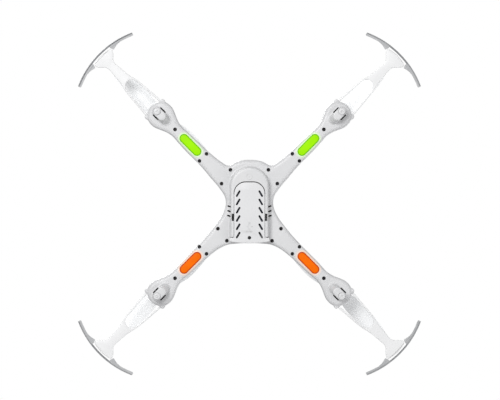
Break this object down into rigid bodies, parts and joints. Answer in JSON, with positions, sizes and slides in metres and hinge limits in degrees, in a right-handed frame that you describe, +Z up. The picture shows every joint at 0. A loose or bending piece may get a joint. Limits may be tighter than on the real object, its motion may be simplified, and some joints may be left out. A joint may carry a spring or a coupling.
{
  "type": "quadcopter drone",
  "caption": "X-frame toy quadcopter with geared rotors, plug-in propeller guards, belly battery door and underside light covers.",
  "frame": {"origin": "on the ground plane under the middle of the overall box, level with the four feet", "axes": "+Z up, -Y towards the nose, +X towards the pilot's left when looking at the nose from the tail"},
  "size_m": [0.319, 0.319, 0.0465],
  "materials": {
    "white_shell": "satin moulded ABS, light grey-white",
    "white_guard": "smooth moulded plastic, clean white",
    "grey_bumper": "satin mid-grey moulded plastic",
    "green_lens": "translucent green light cover",
    "orange_lens": "translucent orange light cover",
    "propeller_white": "thin translucent white plastic",
    "steel": "plain ground steel",
    "brass": "turned brass",
    "white_nylon": "natural white nylon",
    "dark_steel": "blackened steel screw",
    "board": "green circuit board with solder mask",
    "battery_wrap": "heat-shrink film over a pouch cell",
    "lead_sleeve": "soft black wire insulation",
    "button_grey": "fine-textured grey button"
  },
  "bodies": {
    "root": {"lower_shell": "white_shell", "upper_shell": "white_shell", "battery_pack": "battery_wrap", "battery_lead": "lead_sleeve", "control_board": "board", "nose_left_screw": "dark_steel", "nose_right_screw": "dark_steel", "tail_left_screw": "dark_steel", "tail_right_screw": "dark_steel", "front_left_guard": "white_guard", "front_left_bumper": "grey_bumper", "front_left_motor": "steel", "front_left_light_board": "board", "front_left_bushing": "brass", "front_left_arm_screw": "dark_steel", "front_left_light_cover": "green_lens", "front_right_guard": "white_guard", "front_right_bumper": "grey_bumper", "front_right_motor": "steel", "front_right_light_board": "board", "front_right_bushing": "brass", "front_right_arm_screw": "dark_steel", "front_right_light_cover": "green_lens", "rear_left_guard": "white_guard", "rear_left_bumper": "grey_bumper", "rear_left_motor": "steel", "rear_left_light_board": "board", "rear_left_bushing": "brass", "rear_left_arm_screw": "dark_steel", "rear_left_light_cover": "orange_lens", "rear_right_guard": "white_guard", "rear_right_bumper": "grey_bumper", "rear_right_motor": "steel", "rear_right_light_board": "board", "rear_right_bushing": "brass", "rear_right_arm_screw": "dark_steel", "rear_right_light_cover": "orange_lens"},
    "battery_door": {"battery_door": "white_shell", "door_screw": "dark_steel"},
    "power_button": {"power_button": "button_grey"},
    "front_left_rotor": {"front_left_propeller": "propeller_white", "front_left_prop_shaft": "steel", "front_left_main_gear": "white_nylon", "front_left_prop_screw": "dark_steel"},
    "front_left_pinion": {"front_left_pinion": "brass"},
    "front_right_rotor": {"front_right_propeller": "propeller_white", "front_right_prop_shaft": "steel", "front_right_main_gear": "white_nylon", "front_right_prop_screw": "dark_steel"},
    "front_right_pinion": {"front_right_pinion": "brass"},
    "rear_left_rotor": {"rear_left_propeller": "propeller_white", "rear_left_prop_shaft": "steel", "rear_left_main_gear": "white_nylon", "rear_left_prop_screw": "dark_steel"},
    "rear_left_pinion": {"rear_left_pinion": "brass"},
    "rear_right_rotor": {"rear_right_propeller": "propeller_white", "rear_right_prop_shaft": "steel", "rear_right_main_gear": "white_nylon", "rear_right_prop_screw": "dark_steel"},
    "rear_right_pinion": {"rear_right_pinion": "brass"}
  },
  "joints": [
    {"name": "front_left_rotor_spin", "type": "hinge", "parent": "root", "child": "front_left_rotor", "pos_m": [0.0792, -0.0792, 0.038], "axis": [0, 0, 1], "continuous": true},
    {"name": "front_left_pinion_spin", "type": "hinge", "parent": "root", "child": "front_left_pinion", "pos_m": [0.08556, -0.08556, 0.0246], "axis": [0, 0, 1], "continuous": true},
    {"name": "front_right_rotor_spin", "type": "hinge", "parent": "root", "child": "front_right_rotor", "pos_m": [-0.0792, -0.0792, 0.038], "axis": [0, 0, 1], "continuous": true},
    {"name": "front_right_pinion_spin", "type": "hinge", "parent": "root", "child": "front_right_pinion", "pos_m": [-0.08556, -0.08556, 0.0246], "axis": [0, 0, 1], "continuous": true},
    {"name": "rear_left_rotor_spin", "type": "hinge", "parent": "root", "child": "rear_left_rotor", "pos_m": [0.0792, 0.0792, 0.038], "axis": [0, 0, 1], "continuous": true},
    {"name": "rear_left_pinion_spin", "type": "hinge", "parent": "root", "child": "rear_left_pinion", "pos_m": [0.08556, 0.08556, 0.0246], "axis": [0, 0, 1], "continuous": true},
    {"name": "rear_right_rotor_spin", "type": "hinge", "parent": "root", "child": "rear_right_rotor", "pos_m": [-0.0792, 0.0792, 0.038], "axis": [0, 0, 1], "continuous": true},
    {"name": "rear_right_pinion_spin", "type": "hinge", "parent": "root", "child": "rear_right_pinion", "pos_m": [-0.08556, 0.08556, 0.0246], "axis": [0, 0, 1], "continuous": true},
    {"name": "battery_door_slide", "type": "slide", "parent": "root", "child": "battery_door", "axis": [0, 1, 0], "range_m": [0, 0.058]},
    {"name": "power_button_press", "type": "slide", "parent": "root", "child": "power_button", "axis": [0, 0, -1], "range_m": [0, 0.0008], "stiffness_N_per_m": 600, "springref_m": -0.0005}
  ],
  "couplings": [
    {"joint": "front_left_pinion_spin", "follows": "front_left_rotor_spin", "ratio": -5},
    {"joint": "front_right_pinion_spin", "follows": "front_right_rotor_spin", "ratio": -5},
    {"joint": "rear_left_pinion_spin", "follows": "rear_left_rotor_spin", "ratio": -5},
    {"joint": "rear_right_pinion_spin", "follows": "rear_right_rotor_spin", "ratio": -5}
  ]
}
